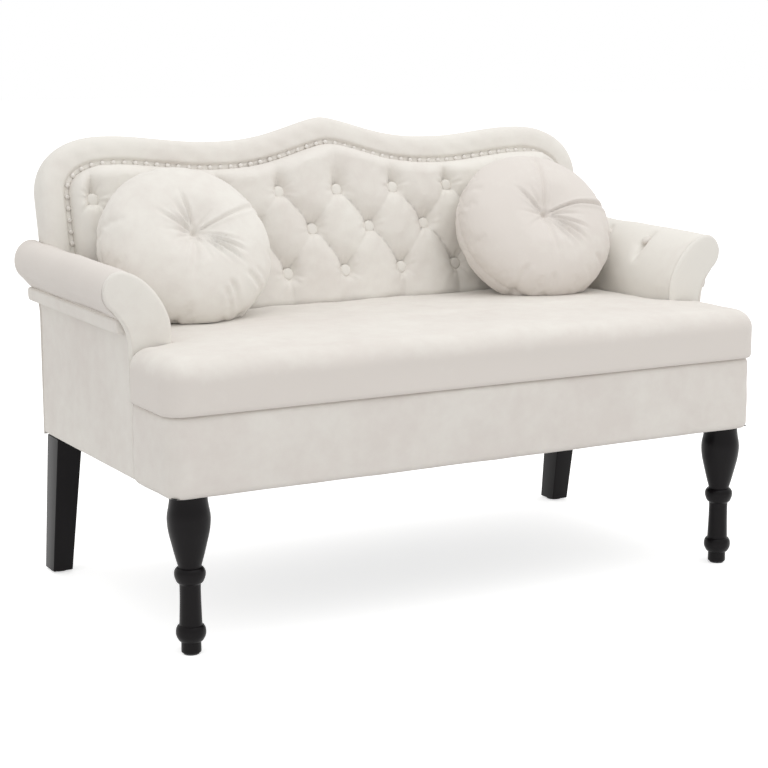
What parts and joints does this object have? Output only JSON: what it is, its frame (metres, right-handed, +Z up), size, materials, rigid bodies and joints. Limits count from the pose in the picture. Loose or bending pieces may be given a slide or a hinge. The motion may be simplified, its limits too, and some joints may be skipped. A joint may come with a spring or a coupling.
{
  "type": "upholstered bench",
  "caption": "Upholstered two-seat bench with a diamond-tufted camelback, rolled arms, turned front legs, nail trim and loose round cushions.",
  "frame": {"origin": "centre of the footprint, on the floor under the glides", "axes": "+X to the right seen from the front, +Y from the front to the back, +Z up"},
  "size_m": [1.137, 0.598, 0.7492],
  "materials": {
    "upholstery": "velvet",
    "pearl": "gloss",
    "lacquer": "satin",
    "frame_wood": "raw",
    "plywood": "raw",
    "foam": "matte",
    "filling": "matte",
    "lining": "matte",
    "glide": "matte",
    "zinc": "zinc plated"
  },
  "bodies": {
    "bench": {"front_rail": "frame_wood", "rear_rail": "frame_wood", "side_rail_left": "frame_wood", "side_rail_right": "frame_wood", "cross_rails": "frame_wood", "corner_blocks": "frame_wood", "seat_deck": "plywood", "dust_cover": "lining", "base_border": "upholstery", "seat_foam": "foam", "seat_cover": "upholstery", "back_stile_left": "frame_wood", "back_stile_right": "frame_wood", "back_cross_rails": "frame_wood", "back_board": "plywood", "back_foam": "foam", "back_cover": "upholstery", "back_border": "upholstery", "back_outer_panel": "upholstery", "back_buttons": "upholstery", "nail_trim": "pearl", "arm_front_board_left": "plywood", "arm_front_board_right": "plywood", "arm_rear_board_left": "plywood", "arm_rear_board_right": "plywood", "arm_top_rail_left": "frame_wood", "arm_top_rail_right": "frame_wood", "arm_inner_board_left": "plywood", "arm_inner_board_right": "plywood", "arm_pad_left": "upholstery", "arm_pad_right": "upholstery", "arm_facing_left": "upholstery", "arm_facing_right": "upholstery", "arm_outer_panel_left": "upholstery", "arm_outer_panel_right": "upholstery", "arm_tack_strip_left": "upholstery", "arm_tack_strip_right": "upholstery", "arm_buttons_left": "upholstery", "arm_buttons_right": "upholstery", "front_leg_left": "lacquer", "front_leg_right": "lacquer", "rear_leg_left": "lacquer", "rear_leg_right": "lacquer", "leg_glides": "glide", "hanger_bolts": "zinc", "insert_nuts": "zinc", "back_bolts": "zinc", "arm_bolts": "zinc"},
    "cushion_left": {"cushion_cover_left": "upholstery", "cushion_filling_left": "filling", "cushion_buttons_left": "upholstery"},
    "cushion_right": {"cushion_cover_right": "upholstery", "cushion_filling_right": "filling", "cushion_buttons_right": "upholstery"}
  },
  "joints": [
    {"name": "lift_cushion_left", "type": "slide", "parent": "bench", "child": "cushion_left", "axis": [0, 0, 1], "range_m": [0, 0.35]},
    {"name": "lift_cushion_right", "type": "slide", "parent": "bench", "child": "cushion_right", "axis": [0, 0, 1], "range_m": [0, 0.35]}
  ]
}
